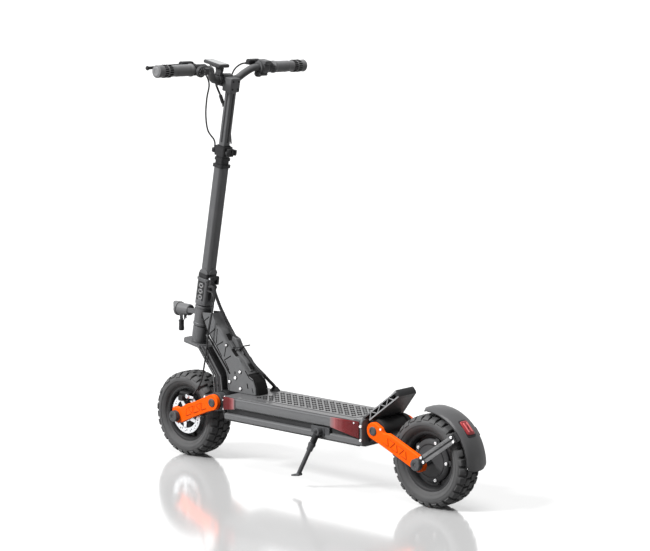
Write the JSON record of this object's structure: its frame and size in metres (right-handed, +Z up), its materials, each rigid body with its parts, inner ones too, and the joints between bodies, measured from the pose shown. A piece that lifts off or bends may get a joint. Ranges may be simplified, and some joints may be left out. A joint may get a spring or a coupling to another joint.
{
  "type": "electric kick scooter",
  "caption": "Folding electric kick scooter with swing-arm suspension, knobbly tyres, a slotted deck with a rear footrest, a height-adjustable stem and a side stand",
  "frame": {"origin": "on the floor, midway between the front of the front tyre and the rear of the rear fender, in the plane that the wheels run in", "axes": "+X points forward, +Y to the rider's left and +Z up; the scooter stands upright on both tyres with the side stand down and the stem unfolded"},
  "size_m": [1.2202, 0.602, 1.1912],
  "materials": {
    "dark_paint": "satin powder coat, charcoal",
    "grey_paint": "satin powder coat, lighter grey",
    "black_metal": "matt black anodised or coated",
    "orange_paint": "bright orange powder coat",
    "bright_steel": "ground and drilled",
    "bare_aluminium": "die cast, bare",
    "black_plastic": "moulded, fine grain",
    "battery_wrap": "heat-shrink wrap",
    "red_lens": "translucent red",
    "rubber": "matt black",
    "deck_tread": "anodised dark grey, slotted for grip",
    "tyre": "knobbly off-road tread"
  },
  "bodies": {
    "deck": {"deck_frame": "dark_paint", "deck_lid": "dark_paint", "grip_mat": "deck_tread", "battery_pack": "battery_wrap", "motor_controller": "bare_aluminium", "rear_casting": "black_metal", "side_light_front_left": "red_lens", "side_light_front_right": "red_lens", "side_light_rear_left": "red_lens", "side_light_rear_right": "red_lens", "footrest": "black_metal", "neck_frame": "grey_paint", "neck_cover": "black_plastic", "lower_bearing": "bright_steel", "upper_bearing": "bright_steel", "wiring_harness": "black_plastic"},
    "charge_cap": {"charge_cap": "rubber"},
    "kickstand": {"kickstand": "black_metal"},
    "headlight": {"headlight": "black_plastic", "horn": "black_plastic"},
    "rear_suspension": {"rear_arm_left": "orange_paint", "rear_arm_right": "orange_paint", "rear_axle": "black_metal", "rear_calliper": "black_metal", "rear_fender": "black_plastic", "fender_strut_left": "black_metal", "fender_strut_right": "black_metal", "tail_light": "red_lens"},
    "rear_wheel": {"rear_tyre": "tyre", "rear_hub_motor": "black_metal", "rear_disc": "bright_steel"},
    "steering": {"stem_base": "dark_paint", "fork": "black_metal", "front_torsion_tube": "black_metal", "front_brake_cable": "rubber"},
    "front_suspension": {"front_arm_left": "orange_paint", "front_arm_right": "orange_paint", "front_axle": "black_metal", "front_calliper": "black_metal"},
    "calliper_lever": {"calliper_lever": "bright_steel"},
    "front_wheel": {"front_tyre": "tyre", "front_rim": "black_metal", "front_disc": "bright_steel"},
    "fold_latch": {"fold_latch": "black_metal"},
    "stem": {"stem_tube": "dark_paint", "height_clamp": "black_metal"},
    "clamp_lever": {"clamp_lever": "black_metal"},
    "handlebar": {"upper_tube": "dark_paint", "handlebar": "black_metal", "grip_left": "rubber", "grip_right": "rubber", "switch_pod": "black_plastic", "display": "black_plastic", "brake_cable_left": "rubber", "brake_cable_right": "rubber", "display_cable": "rubber"},
    "brake_lever_left": {"brake_lever_left": "black_metal"},
    "brake_lever_right": {"brake_lever_right": "black_metal"},
    "throttle_paddle": {"throttle_paddle": "black_plastic"},
    "horn_button": {"horn_button": "red_lens"}
  },
  "joints": [
    {"name": "steer", "type": "hinge", "parent": "deck", "child": "steering", "pos_m": [0.4441, 0, 0.4298], "axis": [-0.1805, 0, 0.9836], "range_deg": [-35, 35], "deforming": ["wiring_harness"]},
    {"name": "stem_fold", "type": "hinge", "parent": "steering", "child": "stem", "pos_m": [0.39688, 0, 0.54315], "axis": [0, -1, 0], "range_deg": [0, 97]},
    {"name": "fold_latch", "type": "hinge", "parent": "steering", "child": "fold_latch", "pos_m": [0.39665, 0, 0.51668], "axis": [0, 1, 0], "range_deg": [0, 60]},
    {"name": "stem_height", "type": "slide", "parent": "stem", "child": "handlebar", "axis": [-0.1805, 0, 0.9836], "range_m": [-0.1, 0.05], "deforming": ["brake_cable_left", "brake_cable_right", "display_cable"]},
    {"name": "clamp_lever", "type": "hinge", "parent": "stem", "child": "clamp_lever", "pos_m": [0.32577, -0.0185, 0.9195], "axis": [0.1805, 0, -0.9836], "range_deg": [0, 110]},
    {"name": "brake_lever_left", "type": "hinge", "parent": "handlebar", "child": "brake_lever_left", "pos_m": [0.35379, 0.132, 1.17679], "axis": [-0.1805, 0, 0.9836], "range_deg": [0, 10], "stiffness_Nm_per_rad": 1, "springref_deg": -17.19},
    {"name": "brake_lever_right", "type": "hinge", "parent": "handlebar", "child": "brake_lever_right", "pos_m": [0.35379, -0.132, 1.17679], "axis": [0.1805, 0, -0.9836], "range_deg": [0, 10], "stiffness_Nm_per_rad": 1, "springref_deg": -17.19},
    {"name": "throttle", "type": "hinge", "parent": "handlebar", "child": "throttle_paddle", "pos_m": [0.31418, -0.107, 1.16545], "axis": [0, -1, 0], "range_deg": [0, 25], "stiffness_Nm_per_rad": 0.1, "springref_deg": -17.19},
    {"name": "horn_button", "type": "slide", "parent": "handlebar", "child": "horn_button", "axis": [0.9836, 0, 0.1805], "range_m": [0, 0.002], "stiffness_N_per_m": 500, "springref_m": -0.002},
    {"name": "front_suspension", "type": "hinge", "parent": "steering", "child": "front_suspension", "pos_m": [0.334, 0, 0.188], "axis": [0, -1, 0], "range_deg": [0, 12], "stiffness_Nm_per_rad": 400, "springref_deg": -5.73, "deforming": ["front_brake_cable"]},
    {"name": "calliper_lever", "type": "hinge", "parent": "front_suspension", "child": "calliper_lever", "pos_m": [0.4655, 0.0488, 0.1855], "axis": [0, 1, 0], "range_deg": [0, 20]},
    {"name": "front_wheel_spin", "type": "hinge", "parent": "front_suspension", "child": "front_wheel", "pos_m": [0.4865, 0, 0.1275], "axis": [0, 1, 0], "continuous": true},
    {"name": "rear_suspension", "type": "hinge", "parent": "deck", "child": "rear_suspension", "pos_m": [-0.295, 0, 0.195], "axis": [0, 1, 0], "range_deg": [0, 12], "stiffness_Nm_per_rad": 400, "springref_deg": -6.88},
    {"name": "rear_wheel_spin", "type": "hinge", "parent": "rear_suspension", "child": "rear_wheel", "pos_m": [-0.4565, 0, 0.1275], "axis": [0, 1, 0], "continuous": true},
    {"name": "kickstand", "type": "hinge", "parent": "deck", "child": "kickstand", "pos_m": [-0.109, 0.096, 0.17], "axis": [0, 1, 0], "range_deg": [0, 100]},
    {"name": "headlight_tilt", "type": "hinge", "parent": "deck", "child": "headlight", "pos_m": [0.49, 0, 0.44], "axis": [0, 1, 0], "range_deg": [-15, 15]},
    {"name": "charge_cap", "type": "hinge", "parent": "deck", "child": "charge_cap", "pos_m": [0.15, -0.0883, 0.213], "axis": [-1, 0, 0], "range_deg": [0, 90]}
  ],
  "couplings": [
    {"joint": "calliper_lever", "follows": "brake_lever_left", "ratio": 2}
  ]
}
